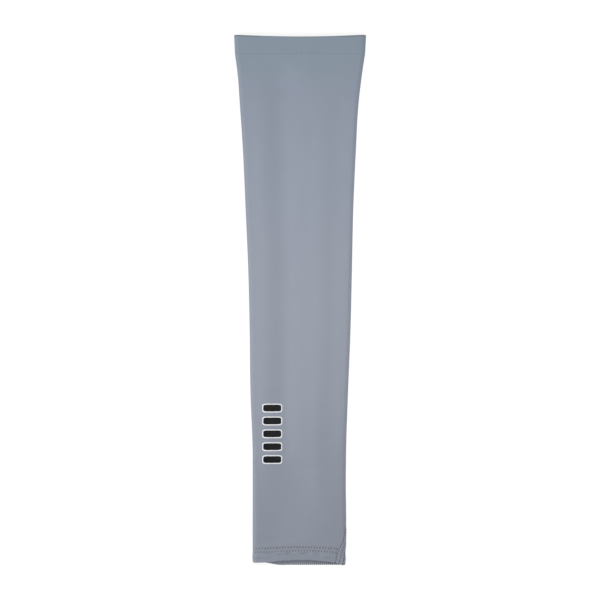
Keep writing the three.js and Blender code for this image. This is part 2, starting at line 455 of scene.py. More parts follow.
# %% [markdown]
# ## The panel of knit
# The body of the sleeve is one panel of fine knit. It begins at the hem, ends at the band,
# and its two long edges meet the seam. Its shape is all in the tables, so a grid of rows
# along the sleeve and columns round it is enough, closer together where it bends: round
# the side folds, and near the hem, whose stitching draws small gathers into the cloth.

# %% Gathers by the hem
STITCH_ROWS = (9.3 * MM, 12.3 * MM)
ROW_GROOVE = 0.08 * MM
ROW_GROOVE_WIDTH = 0.75 * MM
GATHERS = {"waves": (37, 53, 74), "phase": (0.4, 2.1, 4.4), "depth": (0.05, 0.05, 0.04)}
GATHER_REACH = 5 * MM
PUCKERS = {
    "around": (0.365, 0.297, 0.217, 0.435, 0.15, 0.66, 0.84),
    "row": (5.6, 7.0, 6.0, 5.2, 6.4, 6.2, 5.2),
    "length": (9.0, 5.0, 7.0, 5.0, 4.5, 6.0, 7.0),
    "tilt": (0.1, 0.0, -0.12, 0.2, 0.05, 0.1, -0.1),
    "deep": (0.6, 0.85, 0.75, 0.4, 0.4, 0.5, 0.5),
}
PUCKER_WIDTH = 1.05
HEM_PUFF = 0.25 * MM
PUFF_PLACE = 5.2
PUFF_REACH = 2.6
DEEPEST_DRAW = 0.66 * MM


def hem_relief(distance, girths):
    """How far the stitching draws the outer face in, at one distance and many girths."""
    around = np.mod(girths / section_at(distance)["whole"], 1)
    depth = np.zeros_like(around)
    for row in STITCH_ROWS:
        depth += ROW_GROOVE * np.exp(-(((distance - row) / ROW_GROOVE_WIDTH) ** 2))
    middle = sum(STITCH_ROWS) / 2
    reach = np.exp(-(((distance - middle) / GATHER_REACH) ** 2))
    for waves, phase, deep in zip(*GATHERS.values()):
        depth += deep * MM * (1 + np.sin(2 * np.pi * waves * around + phase)) * reach
    depth -= HEM_PUFF * np.exp(-(((distance / MM - PUFF_PLACE) / PUFF_REACH) ** 2))
    for place, row, length, tilt, deep in zip(*PUCKERS.values()):
        u = (around - place) * section_at(distance)["whole"] / MM
        v = distance / MM - row - tilt * u
        depth += deep * MM * np.exp(-((u / (length / 2)) ** 4) - (v / PUCKER_WIDTH) ** 2)
    return np.minimum(depth, DEEPEST_DRAW)


print(f"deepest draw {hem_relief(11.9 * MM, np.linspace(0, 0.14, 300)).max() / MM:.2f} mm")

# %% The panel
PANEL_STEPS = (26, 72, 18, 34, 26)
PANEL_ROWS = (14, 24, 112, 10)
PANEL_GAP = 0.04 * MM
seam_reach = SEAM_WIDTH + WRIST_WIDTH * max(abs(g) for g in SEAM_COURSE["girth"])


def panel_girths(distance):
    section = section_at(distance)
    start = seam_middle(distance) + SEAM_WIDTH / 2
    end = seam_middle(distance) + section["whole"] - SEAM_WIDTH / 2
    far_side = section["whole"] - seam_reach
    stops = (start, seam_reach, section["left_from"], section["left_to"], far_side, end)
    return spread(stops, PANEL_STEPS)


def knit_panel():
    stops = (HEM_DEPTH + PANEL_GAP, 24 * MM, 60 * MM, band_start - 8 * MM, band_start - PANEL_GAP)
    distances = spread(stops, PANEL_ROWS)
    front = [(d, hem_relief(d, panel_girths(d))) for d in distances]
    back = [(d, depth + PLY) for d, depth in front]
    return make_sheet("knit_panel", front, back, panel_girths, distances)


panel = knit_panel()
print("knit_panel:", len(panel.data.polygons), "faces")

# %% [markdown]
# ## The turned hem
# At the wrist the cloth is turned in and stitched down. A real hem is two thin plies with a
# soft round fold at the edge, so the sheet runs from its raw edge inside the sleeve down
# to the edge, round it, and up the outside. The fold's radius is half the hem's thickness.

# %% The hem
HEM_PLY = 0.72 * MM
HEM_ROWS = 34
PLY_GAP = 0.02 * MM
TURN_STEPS = 8


def folded_rows(edge, upwards, far, steps, relief):
    """Rows of both faces of a doubled sheet, from its raw edge inside to its outside."""
    radius = DOUBLE_PLY / 2
    inside = [(far + (edge + upwards * radius - far) * k / steps) for k in range(steps)]
    turn = np.linspace(np.pi / 2, -np.pi / 2, TURN_STEPS + 1)
    front = [(d, DOUBLE_PLY, d) for d in inside]
    back = [(d, DOUBLE_PLY - HEM_PLY, d) for d in inside]
    for angle in turn:
        for rows, r in ((front, radius), (back, radius - HEM_PLY)):
            distance = edge + upwards * (radius - r * np.cos(angle))
            rows.append((distance, radius + r * np.sin(angle), distance))
    for d in reversed(inside):
        front.append((d, 0.0, d))
        back.append((d, HEM_PLY, d))
    places = [d for d, _, _ in front]
    signs = [-1 if depth > radius else 1 for _, depth, _ in front]
    places = [edge + (d - edge) * sign for d, sign in zip(places, signs)]
    front = [(d, depth + relief(d) * (depth < radius)) for d, depth, _ in front]
    inner = DOUBLE_PLY - HEM_PLY - PLY_GAP
    for k, (d, depth, _) in enumerate(back):
        back[k] = (d, np.minimum(depth + relief(d), inner) if depth < radius else depth)
    return front, back, places


def wrist_hem():
    def relief(distance):
        return hem_relief(distance, panel_girths(distance))

    front, back, places = folded_rows(0, 1, HEM_DEPTH, HEM_ROWS, relief)
    return make_sheet("hem_cloth", front, back, panel_girths, places)


hem = wrist_hem()
print("hem_cloth:", len(hem.data.polygons), "faces")

# %% [markdown]
# ## The band at the upper arm
# The upper end is a doubled band of the same knit, sewn on round the opening. It is built
# like the hem, but as a closed ring, and its lower edge sinks a little into the joint.

# %% The band
RING_STEPS = (18, 84, 18, 60)
BAND_ROWS = 20
JOINT_DEPTH = 0.2 * MM
JOINT_WIDTH = 0.6 * MM


def ring_girths(distance):
    section = section_at(distance)
    fold = section["right_to"]
    stops = (-fold, fold, section["left_from"], section["left_to"], section["whole"] - fold)
    return spread(stops, RING_STEPS)


def upper_band():
    def relief(distance):
        sunk = JOINT_DEPTH * np.exp(-(((distance - band_start) / JOINT_WIDTH) ** 2))
        return np.full(sum(RING_STEPS) + 1, sunk)

    rows = folded_rows(sleeve_length, -1, band_start, BAND_ROWS, relief)
    front, back, places = (part[::-1] for part in rows)
    return make_sheet("band_cloth", front, back, ring_girths, places, ring=True)


band = upper_band()
print("band_cloth:", len(band.data.polygons), "faces")

# %% [markdown]
# ## The flat seam
# The panel's long edges are joined by a flat seam: they lie over each other in a narrow
# strip, and threads cross it on both faces. It starts on the front at the wrist, turns
# round the right fold and runs up the underside. The strip is a narrow sheet that sinks a
# little into the cloth below, so that its threads have room above the table.

# %% The strip of the seam
SEAM_STEPS = 10
SEAM_ROWS = (60, 120)
SEAM_START = 0.3 * MM
SEAM_UNDERSIDE = 45 * MM
SEAM_SINK = 0.4 * MM
SINK_FROM = 0.5 * MM
SINK_RUN = 5 * MM
SEAM_PLY = 1.0 * MM
SEAM_INSIDE = 1.2 * MM
SEAM_DRAW = 0.6
EDGE_RISE = 0.3


def seam_sink(distance):
    """The depth of the strip: level with the front, sunk on the underside."""
    return SEAM_SINK * smooth_step((SINK_FROM - seam_middle(distance)) / SINK_RUN)


def seam_girths(distance):
    middle = seam_middle(distance)
    return middle + np.linspace(-0.5, 0.5, SEAM_STEPS + 1) * SEAM_WIDTH


def seam_strip():
    distances = spread((SEAM_START, SEAM_UNDERSIDE, band_start - PANEL_GAP), SEAM_ROWS)
    edge = np.abs(np.linspace(-1, 1, SEAM_STEPS + 1)) ** 4
    front = []
    for d in distances:
        drawn = hem_relief(d, seam_girths(d)) * SEAM_DRAW
        front.append((d, seam_sink(d) * (1 - EDGE_RISE * edge) + drawn))
    back = [(d, np.maximum(depth + SEAM_PLY, SEAM_INSIDE)) for d, depth in front]
    return make_sheet("seam_strip", front, back, seam_girths, distances)


strip = seam_strip()
print("seam_strip:", len(strip.data.polygons), "faces")

# %% [markdown]
# ## Threads by Geometry Nodes
# Every stitch is the same short bridge of thread, set again and again along a line, which
# is just what Geometry Nodes are for. The line is a chain of points on the cloth, and each
# point knows which way is out of the cloth. One tree lays bridges end to end along it, as a
# needle thread does. A second tree rounds the turns of a line that swings from side to
# side and gives it the thickness of a thread, as the cover thread of a flat seam has.
# A few small helpers keep the trees short to write.

# %% Helpers for node trees


def node(tree, kind, links=None, **settings):
    """Adds a node, with links from sockets or plain values for its inputs."""
    made = tree.nodes.new(kind)
    for key, value in settings.items():
        setattr(made, key, value)
    for socket, source in (links or {}).items():
        if isinstance(source, bpy.types.NodeSocket):
            tree.links.new(source, made.inputs[socket])
        else:
            made.inputs[socket].default_value = source
    return made


def step(tree, kind, links=None, **settings):
    """Adds a node and gives its first output."""
    return node(tree, kind, links, **settings).outputs[0]


def maths(tree, operation, *values):
    return step(tree, "ShaderNodeMath", dict(enumerate(values)), operation=operation)


def linear(tree, value, factor, extra):
    """The value times the factor, plus the extra."""
    return maths(tree, "MULTIPLY_ADD", value, factor, extra)


def product(tree, *values):
    result = values[0]
    for value in values[1:]:
        result = maths(tree, "MULTIPLY", result, value)
    return result


def part_of(tree, vector, axis):
    """One part of a vector; axis 0 is X and 1 is Y."""
    return node(tree, "ShaderNodeSeparateXYZ", {0: vector}).outputs[axis]


def new_tree(name, kind, inputs, outputs):
    """A tree with named sockets, given as name: (socket type, value)."""
    tree = bpy.data.node_groups.new(name, kind)
    for label, (socket, value) in inputs.items():
        made = tree.interface.new_socket(label, in_out="INPUT", socket_type=socket)
        if value is not None:
            made.default_value = value
    for label, socket in outputs.items():
        tree.interface.new_socket(label, in_out="OUTPUT", socket_type=socket)
    return tree, tree.nodes.new("NodeGroupInput").outputs, tree.nodes.new("NodeGroupOutput")


FLOAT = "NodeSocketFloat"
GEOMETRY = "NodeSocketGeometry"
MATERIAL = "NodeSocketMaterial"
VECTOR = "NodeSocketVector"
COLOR = "NodeSocketColor"
print("node helpers ready")

# %% A row of needle stitches
ARCH_PULL = 1.4
STITCH_SIZES = {"Min": (0.86, 0.9, 0.8), "Max": (1.06, 1.1, 1.15)}


def tube(tree, curve, radius, sides):
    """Gives a curve the thickness of a thread."""
    ring = {"Resolution": sides, "Radius": radius}
    profile = step(tree, "GeometryNodeCurvePrimitiveCircle", ring)
    values = {"Curve": curve, "Profile Curve": profile, "Fill Caps": True}
    return step(tree, "GeometryNodeCurveToMesh", values)


def finish_threads(tree, given, out, threads):
    """Gives each thread its own tone, makes the copies real and sets the thread's material."""
    tone = node(tree, "FunctionNodeRandomValue", {"Seed": given["Seed"]}, data_type="FLOAT")
    values = {"Geometry": threads, "Name": "tone", "Value": tone.outputs[1]}
    kind = {"data_type": "FLOAT", "domain": "INSTANCE"}
    toned = step(tree, "GeometryNodeStoreNamedAttribute", values, **kind)
    real = step(tree, "GeometryNodeRealizeInstances", {"Geometry": toned})
    smooth = step(tree, "GeometryNodeSetShadeSmooth", {"Geometry": real})
    values = {"Geometry": smooth, "Material": given["Thread"]}
    tree.links.new(step(tree, "GeometryNodeSetMaterial", values), out.inputs[0])


def bridge_of_thread(tree, given):
    """One stitch: an arch that dives into the cloth at both ends."""
    half = product(tree, given["Length"], 0.5)
    dive = product(tree, given["Arch"], -1.0)
    corners = {
        "Start": {"X": product(tree, half, -1.0), "Z": dive},
        "Middle": {"Z": product(tree, given["Arch"], ARCH_PULL)},
        "End": {"X": half, "Z": dive},
    }
    values = {name: step(tree, "ShaderNodeCombineXYZ", at) for name, at in corners.items()}
    arch = step(tree, "GeometryNodeCurveQuadraticBezier", {"Resolution": 5, **values})
    return tube(tree, arch, given["Thread radius"], 6)


def stitch_row_tree():
    inputs = {
        "Line": (GEOMETRY, None),
        "Pitch": (FLOAT, 1.9 * MM),
        "Length": (FLOAT, 1.5 * MM),
        "Thread radius": (FLOAT, 0.15 * MM),
        "Arch": (FLOAT, 0.16 * MM),
        "Seed": ("NodeSocketInt", 3),
        "Thread": (MATERIAL, None),
    }
    tree, given, out = new_tree("stitch row", "GeometryNodeTree", inputs, {"Geometry": GEOMETRY})
    line = step(tree, "GeometryNodeMeshToCurve", {"Mesh": given["Line"]})
    values = {"Curve": line, "Length": given["Pitch"]}
    even = step(tree, "GeometryNodeResampleCurve", values, mode="LENGTH")
    outwards = node(tree, "GeometryNodeInputNamedAttribute", {"Name": "out"}, data_type="FLOAT_VECTOR")
    align = "FunctionNodeAlignRotationToVector"
    upright = step(tree, align, {"Vector": outwards.outputs["Attribute"]}, axis="Z")
    values = {"Rotation": upright, "Vector": step(tree, "GeometryNodeInputTangent")}
    turned = step(tree, align, values, axis="X", pivot_axis="Z")
    values = {**STITCH_SIZES, "Seed": given["Seed"]}
    size = node(tree, "FunctionNodeRandomValue", values, data_type="FLOAT_VECTOR")
    values = {"Points": even, "Instance": bridge_of_thread(tree, given)}
    values |= {"Rotation": turned, "Scale": size.outputs["Value"]}
    finish_threads(tree, given, out, step(tree, "GeometryNodeInstanceOnPoints", values))
    return tree


stitch_row = stitch_row_tree()
print("stitch row:", len(stitch_row.nodes), "nodes")

# %% A cover thread from side to side


def cover_thread_tree():
    inputs = {
        "Line": (GEOMETRY, None),
        "Slack": (FLOAT, 0.08 * MM),
        "Thread radius": (FLOAT, 0.13 * MM),
        "Seed": ("NodeSocketInt", 5),
        "Thread": (MATERIAL, None),
    }
    tree, given, out = new_tree("cover thread", "GeometryNodeTree", inputs, {"Geometry": GEOMETRY})
    line = step(tree, "GeometryNodeMeshToCurve", {"Mesh": given["Line"]})
    values = {"Min": (-1.0, -1.0, 0.0), "Max": (1.0, 1.0, 0.0), "Seed": given["Seed"]}
    drift = node(tree, "FunctionNodeRandomValue", values, data_type="FLOAT_VECTOR")
    values = {0: drift.outputs["Value"], "Scale": given["Slack"]}
    offset = step(tree, "ShaderNodeVectorMath", values, operation="SCALE")
    slack = step(tree, "GeometryNodeSetPosition", {"Geometry": line, "Offset": offset})
    curved = step(tree, "GeometryNodeCurveSplineType", {"Curve": slack}, spline_type="CATMULL_ROM")
    fine = step(tree, "GeometryNodeSetSplineResolution", {"Geometry": curved, "Resolution": 3})
    thread = tube(tree, fine, given["Thread radius"], 5)
    whole = step(tree, "GeometryNodeGeometryToInstance", {"Geometry": thread})
    finish_threads(tree, given, out, whole)
    return tree


cover_thread = cover_thread_tree()
print("cover thread:", len(cover_thread.nodes), "nodes")

# %% Lines on the cloth and the threads that grow on them


def cloth_line(name, distances, girths, depths):
    """A chain of points on the cloth, each with the way out of the cloth."""
    points, outs = [], []
    for distance, girth, depth in zip(distances, girths, depths):
        point, out = cloth_row(distance, np.array([girth]), depth)
        points.append(point[0])
        outs.append(out[0])
    mesh = bpy.data.meshes.new(name)
    mesh.from_pydata(np.array(points).tolist(), [(k, k + 1) for k in range(len(points) - 1)], [])
    layer = mesh.attributes.new("out", "FLOAT_VECTOR", "POINT")
    layer.data.foreach_set("vector", np.array(outs).ravel())
    return mesh


def grow(name, line, tree, values):
    """Runs a tree on a line and keeps the result as a plain mesh."""
    piece = add_object(name, line)
    modifier = piece.modifiers.new(tree.name, "NODES")
    modifier.node_group = tree
    for item in tree.interface.items_tree:
        if item.in_out == "INPUT" and item.name in values:
            modifier[item.identifier] = values[item.name]
    graph = bpy.context.evaluated_depsgraph_get()
    grown = bpy.data.meshes.new_from_object(piece.evaluated_get(graph))
    piece.modifiers.remove(modifier)
    piece.data = grown
    print(f"{name}: {len(grown.polygons)} faces")
    return piece


def swing(count):
    """From side to side in steps of half a side: 0, a half, 0, minus a half, and so on."""
    return np.tile([0, 0.5, 0, -0.5], count // 4 + 1)[:count]


print("swings:", swing(5))

# %% [markdown]
# ## The look of fine knit
# Seen closely, a fine jersey knit is rows of small V-shaped loops: columns called wales and
# lines called courses, each well under a millimetre. From a distance it is smooth and
# matt, with faint streaks and a slow drift of hue. An image could show this, but a pattern
# made of waves stays sharp at any size, and it follows the cloth's own UV, which is in
# metres. It is one shader group, so the panel, the hem and the band can share it.

# %% The knit as a shader group
TURN = 2 * math.pi
WALE_RELIEF = 0.28
COURSE_RELIEF = 0.22
STREAK_STRETCH = (170.0, 900.0, 1.0)
PATCH_SCALE = 62.0


def wave(tree, value):
    """The cosine of a number of turns."""
    return maths(tree, "COSINE", product(tree, value, TURN))


def bell(tree, value, middle, width):
    """1 where the value meets the middle, and smoothly down to 0 on both sides."""
    off = maths(tree, "DIVIDE", maths(tree, "SUBTRACT", value, middle), width)
    return maths(tree, "EXPONENT", product(tree, off, off, -1.0))


def mixed(tree, factor, first, second, blend="MIX"):
    values = {0: factor, 6: first, 7: second}
    return node(tree, "ShaderNodeMix", values, data_type="RGBA", blend_type=blend).outputs[2]


def noise(tree, place, scale, detail):
    return step(tree, "ShaderNodeTexNoise", {"Vector": place, "Scale": scale, "Detail": detail})


def fine_knit_group():
    inputs = {
        "Place": (VECTOR, None),
        "Wale": (FLOAT, 0.75 * MM),
        "Course": (FLOAT, 0.6 * MM),
        "Loop height": (FLOAT, 0.04 * MM),
        "Unevenness": (FLOAT, 0.16 * MM),
        "Face yarn": (COLOR, (0.3, 0.33, 0.38, 1)),
        "Shaded groove yarn": (COLOR, (0.25, 0.27, 0.32, 1)),
        "Streaks": (FLOAT, 0.05),
    }
    outputs = {"Color": COLOR, "Roughness": FLOAT, "Height": FLOAT}
    tree, given, out = new_tree("fine knit", "ShaderNodeTree", inputs, outputs)
    wales = maths(tree, "DIVIDE", part_of(tree, given["Place"], 0), given["Wale"])
    courses = maths(tree, "DIVIDE", part_of(tree, given["Place"], 1), given["Course"])
    slant = maths(tree, "PINGPONG", wales, 0.5)
    loops = product(tree, wave(tree, maths(tree, "ADD", courses, slant)), COURSE_RELIEF)
    relief = linear(tree, wave(tree, wales), WALE_RELIEF, loops)
    relief = maths(tree, "ADD", relief, 0.5)
    values = {0: given["Place"], 1: STREAK_STRETCH}
    stretched = step(tree, "ShaderNodeVectorMath", values, operation="MULTIPLY")
    streak = noise(tree, stretched, 1.0, 2.0)
    soft = noise(tree, given["Place"], PATCH_SCALE, 2.5)
    # The grooves take the darker groove yarn: painted shade in the knit's small recesses.
    yarn = mixed(tree, relief, given["Shaded groove yarn"], given["Face yarn"])
    shade = linear(tree, streak, given["Streaks"], 1.0)
    shade = linear(tree, soft, given["Streaks"], shade)
    shade = maths(tree, "SUBTRACT", shade, given["Streaks"])
    grey = step(tree, "ShaderNodeCombineColor", {0: shade, 1: shade, 2: shade})
    tree.links.new(mixed(tree, 1.0, yarn, grey, "MULTIPLY"), out.inputs["Color"])
    tree.links.new(linear(tree, streak, 0.14, 0.76), out.inputs["Roughness"])
    loop_height = product(tree, relief, given["Loop height"])
    height = linear(tree, soft, given["Unevenness"], loop_height)
    tree.links.new(height, out.inputs["Height"])
    return tree


fine_knit = fine_knit_group()
print("fine knit:", len(fine_knit.nodes), "nodes")

# %% Painted shade in needle holes, as a shader group
PIT_POWER = 1.6


def needle_hole_shade_group():
    """Pits where a row of stitches enters the cloth, to paint shade in: 1 in a pit, 0 elsewhere."""
    inputs = {
        "Place": (VECTOR, None),
        "Row": (FLOAT, 9 * MM),
        "Start": (FLOAT, 0.0),
        "Pitch": (FLOAT, 1.9 * MM),
        "Width": (FLOAT, 0.5 * MM),
    }
    tree, given, out = new_tree("needle hole shade", "ShaderNodeTree", inputs, {"Pits": FLOAT})
    along = maths(tree, "SUBTRACT", part_of(tree, given["Place"], 0), given["Start"])
    beat = wave(tree, maths(tree, "DIVIDE", along, given["Pitch"]))
    beat = maths(tree, "POWER", linear(tree, beat, -0.5, 0.5), PIT_POWER)
    near = bell(tree, part_of(tree, given["Place"], 1), given["Row"], given["Width"])
    tree.links.new(product(tree, beat, near), out.inputs["Pits"])
    return tree


needle_hole_shade = needle_hole_shade_group()
print("needle hole shade:", len(needle_hole_shade.nodes), "nodes")

# %% [markdown]
# ## The finishes
# All pieces are the same grey-blue knit. It is a touch darker at the wrist, and greener at
# the band. Its small grooves are painted darker, as painted shade. Stitched rows have
# painted shade in small pits between their stitches, and in short ticks up in the cloth
# above them. Low creases in the hem hold a little painted shade. The hem's inside shows the
# ribs of the knit's wrong side, whose lighter tone is partly its own and partly painted
# light, with painted shade in the furrows. The band's top edge has a thin painted shadow
# towards its corners. A little sheen stands for the fine fibres that catch the light where
# the cloth turns away.

# %% Yarns and the parts of a finish
BODY_YARN = (0.305, 0.332, 0.392, 1)
WRIST_YARN = (0.294, 0.32, 0.378, 1)
UPPER_YARN = (0.292, 0.325, 0.398, 1)
BAND_YARN = (0.268, 0.325, 0.388, 1)
# How light the painted shade in the knit's grooves leaves its yarn.
GROOVE_SHADE_SHARE = 0.86
DEEP_GROOVE_SHADE_SHARE = 0.8
FIBRE_LOOK = {"Specular IOR Level": 0.04, "Sheen Roughness": 0.45}


def darker(color, share):
    return tuple(c * share for c in color[:3]) + (1,)


def start_finish(name):
    """A material with a Principled shader and the cloth's own UV."""
    finish = bpy.data.materials.new(name)
    finish.use_nodes = True
    tree = finish.node_tree
    place = step(tree, "ShaderNodeUVMap", uv_map="cloth")
    return finish, tree, tree.nodes["Principled BSDF"], place


def use_group(tree, group, values):
    return node(tree, "ShaderNodeGroup", values, node_tree=group).outputs


def dyed_knit(tree, place, yarn, share=GROOVE_SHADE_SHARE, more=None):
    """The knit in one plain yarn, with a darker share of it painted in the grooves as shade."""
    values = {"Place": place, "Face yarn": yarn, "Shaded groove yarn": darker(yarn, share)}
    return use_group(tree, fine_knit, values | (more or {}))


def set_fabric(tree, shader, color, roughness, height, sheen=0.03):
    bump = step(tree, "ShaderNodeBump", {"Height": height, "Distance": 1.0, "Strength": 1.0})
    for socket, source in (("Base Color", color), ("Roughness", roughness), ("Normal", bump)):
        tree.links.new(source, shader.inputs[socket])
    set_inputs(shader, {**FIBRE_LOOK, "Sheen Weight": sheen})


def smooth_range(tree, value, first, last):
    """0 before the first value, 1 past the last, and smooth between."""
    values = {"Value": value, "From Min": first, "From Max": last}
    return step(tree, "ShaderNodeMapRange", values, interpolation_type="SMOOTHSTEP")


def along_cloth(tree, place, first, last):
    """A smooth range of the distance from the wrist."""
    return smooth_range(tree, part_of(tree, place, 1), first, last)


print("a groove is", round(100 * GROOVE_SHADE_SHARE), "% as light as its yarn")

# %% Knit finishes
TICKS_MIDDLE = 50 * MM
TICKS_REACH = 19 * MM
TICK_PITCH = 2.3 * MM
TICK_LENGTH = 1.1 * MM
TICK_OFFSET = 0.7 * MM
TICK_SHADE = 0.2
FAINT_TICKS = 0.35
BAND_CORNERS = (24 * MM, 44 * MM)
BAND_EDGE = (sleeve_length - 1.3 * MM, sleeve_length - 0.4 * MM)
BAND_CORNER_SHADE = 0.6
WRIST_FADE = (60 * MM, 150 * MM)
UPPER_FADE = (0.52 * sleeve_length, 0.9 * sleeve_length)
BAND_FADE = (band_start - 45 * MM, band_start + 12 * MM)
TICK_SHADE_DARKNESS = 0.1
CORNER_SHADOW_DARKNESS = 0.3


def paint_tick_shade(tree, place, color):
    """Painted shade of the short creases that the upper stitch row draws up in the cloth above it."""
    off = maths(tree, "SUBTRACT", part_of(tree, place, 0), TICKS_MIDDLE)
    off = maths(tree, "ABSOLUTE", maths(tree, "DIVIDE", off, TICKS_REACH))
    near = maths(tree, "EXPONENT", product(tree, maths(tree, "POWER", off, 4.0), -1.0))
    values = {"Place": place, "Row": STITCH_ROWS[1] + TICK_OFFSET}
    values |= {"Pitch": TICK_PITCH, "Width": TICK_LENGTH}
    ticks = use_group(tree, needle_hole_shade, values)["Pits"]
    share = linear(tree, near, TICK_SHADE, TICK_SHADE * FAINT_TICKS)
    return mixed(tree, product(tree, ticks, share), color, darker(BODY_YARN, TICK_SHADE_DARKNESS))


def panel_finish():
    finish, tree, shader, place = start_finish("body knit")
    yarn = WRIST_YARN
    for fade, next_yarn in ((WRIST_FADE, BODY_YARN), (UPPER_FADE, UPPER_YARN), (BAND_FADE, BAND_YARN)):
        yarn = mixed(tree, along_cloth(tree, place, *fade), yarn, next_yarn)
    # The groove yarn is the yarn with painted shade.
    groove = mixed(tree, 1.0, yarn, darker((1, 1, 1), GROOVE_SHADE_SHARE), "MULTIPLY")
    knit = use_group(tree, fine_knit, {"Place": place, "Face yarn": yarn, "Shaded groove yarn": groove})
    color = paint_tick_shade(tree, place, knit["Color"])
    set_fabric(tree, shader, color, knit["Roughness"], knit["Height"])
    return finish


def band_finish():
    finish, tree, shader, place = start_finish("band knit")
    knit = dyed_knit(tree, place, BAND_YARN)
    # A thin line of painted shadow along the band's top edge, towards both corners.
    spot = node(tree, "ShaderNodeTexCoord").outputs["Object"]
    corner = smooth_range(tree, maths(tree, "ABSOLUTE", part_of(tree, spot, 0)), *BAND_CORNERS)
    shade = product(tree, along_cloth(tree, place, *BAND_EDGE), corner, BAND_CORNER_SHADE)
    color = mixed(tree, shade, knit["Color"], darker(BAND_YARN, CORNER_SHADOW_DARKNESS))
    set_fabric(tree, shader, color, knit["Roughness"], knit["Height"])
    return finish


body_knit = panel_finish()
band_knit = band_finish()
panel.data.materials.append(body_knit)
band.data.materials.append(band_knit)
print("finishes:", body_knit.name, "and", band_knit.name)

# %% The lines of the hem's stitches
STITCH_PITCH = 2.3 * MM
NEEDLE_DEPTH = 0.16 * MM
LINE_POINTS = 400


def even_pitch(mesh, pitch):
    """The whole length of a line, shared out into whole stitches of about the pitch."""
    points = np.array([v.co for v in mesh.vertices])
    length = np.hypot.reduce(np.diff(points, axis=0), axis=1).sum()
    return length / round(length / pitch)


def hem_line(distance):
    start, end = panel_girths(distance)[[0, -1]]
    girths = np.linspace(start, end, LINE_POINTS)
    depths = hem_relief(distance, girths) - ROW_GROOVE + NEEDLE_DEPTH
    return cloth_line("hem line", np.full(LINE_POINTS, distance), girths, depths)


hem_lines = [hem_line(row) for row in STITCH_ROWS]
hem_pitches = [even_pitch(line, STITCH_PITCH) for line in hem_lines]
print("hem stitches of", [round(pitch / MM, 3) for pitch in hem_pitches], "mm")

# %% The hem's finish
WRONG_SIDE_YARN_AND_PAINTED_LIGHT = (0.49, 0.54, 0.635, 1)
CREASE_SCALE = 130.0
CREASE_PLACE = 5.6 * MM
CREASE_REACH = 2.6 * MM
CREASE_STRETCH = 3.0
CREASE_LEVELS = (0.48, 0.72)
CREASE_SHADE = 0.3
RIB_PITCH = 1.6 * MM
RIB_HEIGHT = 0.12 * MM
FURROW_SHADE = 0.8
PIT_WIDTH = 0.62 * MM
PIT_SHADE = 0.66
PIT_SHADE_DARKNESS = 0.03
CREASE_DARKNESS = 0.4
FURROW_SHADE_DARKNESS = 0.3
HEM_INSIDE = (0.25 * MM, -0.15 * MM)


def soft_creases(tree, place):
    """Shade held by the low creases between the stitch rows and the edge."""
    v = part_of(tree, place, 1)
    values = {0: part_of(tree, place, 0), 1: product(tree, v, CREASE_STRETCH)}
    patches = noise(tree, step(tree, "ShaderNodeCombineXYZ", values), CREASE_SCALE, 1.0)
    held = smooth_range(tree, patches, *CREASE_LEVELS)
    return product(tree, held, bell(tree, v, CREASE_PLACE, CREASE_REACH), CREASE_SHADE)


def hem_finish():
    finish, tree, shader, place = start_finish("hem knit")
    knit = dyed_knit(tree, place, WRIST_YARN)
    color = knit["Color"]
    for row, pitch in zip(STITCH_ROWS, hem_pitches):
        values = {"Place": place, "Row": row, "Pitch": pitch}
        values |= {"Start": panel_girths(row)[0], "Width": PIT_WIDTH}
        # Painted shade in the needle holes of both rows.
        pits = product(tree, use_group(tree, needle_hole_shade, values)["Pits"], PIT_SHADE)
        color = mixed(tree, pits, color, darker(BODY_YARN, PIT_SHADE_DARKNESS))
    color = paint_tick_shade(tree, place, color)
    color = mixed(tree, soft_creases(tree, place), color, darker(BODY_YARN, CREASE_DARKNESS))
    # The inside shows the wrong side's yarn, painted lighter than the face to stand in for light in
    # the shaded mouth, with painted shade in the furrows between its ribs.
    inside = along_cloth(tree, place, *HEM_INSIDE)
    color = mixed(tree, inside, color, WRONG_SIDE_YARN_AND_PAINTED_LIGHT)
    ribs = wave(tree, maths(tree, "DIVIDE", part_of(tree, place, 0), RIB_PITCH))
    ribs = linear(tree, ribs, 0.5, 0.5)
    furrows = product(tree, maths(tree, "SUBTRACT", 1.0, ribs), inside, FURROW_SHADE)
    color = mixed(tree, furrows, color, darker(BODY_YARN, FURROW_SHADE_DARKNESS))
    height = maths(tree, "ADD", knit["Height"], product(tree, ribs, inside, RIB_HEIGHT))
    set_fabric(tree, shader, color, knit["Roughness"], height)
    return finish


hem_knit = hem_finish()
hem.data.materials.append(hem_knit)
print("hem finish:", len(hem_knit.node_tree.nodes), "nodes")

# %% Thread finish
FIBRE_SCALE = 2600.0
FIBRE_HEIGHT = 0.05 * MM
THREAD_SHEEN = 0.1
HEM_DYES = (0.44, 0.465, 0.53, 1), (0.36, 0.385, 0.44, 1)
TACK_DYES = (0.17, 0.205, 0.24, 1), (0.12, 0.145, 0.17, 1)
# The seam's needle thread is near black, so its stitches also stand in for the painted shade of the
# needle holes in the ladder.
SEAM_THREAD_TONES = (0.045, 0.05, 0.06, 1), (0.015, 0.017, 0.021, 1)


def thread_finish(name, light, dark):
    """Spun thread: each stitch has its own tone, and fine fibres vary it along the way."""
    finish, tree, shader, _ = start_finish(name)
    tone = node(tree, "ShaderNodeAttribute", attribute_name="tone").outputs["Fac"]
    spot = node(tree, "ShaderNodeTexCoord").outputs["Object"]
    fibre = noise(tree, spot, FIBRE_SCALE, 1.0)
    mix = linear(tree, fibre, 0.5, product(tree, tone, 0.5))
    rough = linear(tree, fibre, 0.2, 0.5)
    height = product(tree, fibre, FIBRE_HEIGHT)
    set_fabric(tree, shader, mixed(tree, mix, dark, light), rough, height, THREAD_SHEEN)
    return finish


